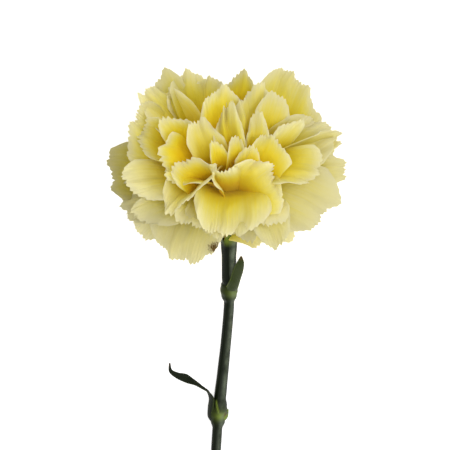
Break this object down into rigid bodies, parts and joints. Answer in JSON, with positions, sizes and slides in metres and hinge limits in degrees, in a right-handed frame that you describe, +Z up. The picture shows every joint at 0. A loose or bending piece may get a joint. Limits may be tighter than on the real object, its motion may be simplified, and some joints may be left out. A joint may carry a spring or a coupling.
{
  "type": "cut carnation",
  "caption": "Cut carnation lying down: a full double bloom of notched petals in a toothed tube calyx, on a short jointed stem with bracts and a curled leaf.",
  "frame": {"origin": "middle of the underside of the whole flower's box, on the surface that it lies on", "axes": "+Y from the cut end of the stem towards the bloom, +Z up, +X to the right of the bloom seen from above"},
  "size_m": [0.0796, 0.163, 0.0708],
  "materials": {
    "petals": "soft, matte, pale at the cut edge and golden towards the base",
    "calyx_green": "smooth, with a waxy grey bloom",
    "stem_green": "smooth, with a waxy grey bloom",
    "leaf_green": "smooth, slightly ribbed lengthwise"
  },
  "bodies": {
    "root": {"bloom": "petals", "calyx": "calyx_green", "upper_bract": "calyx_green", "short_bract": "calyx_green", "stem": "stem_green", "curled_leaf": "leaf_green", "leaf_stub": "leaf_green"}
  },
  "joints": []
}
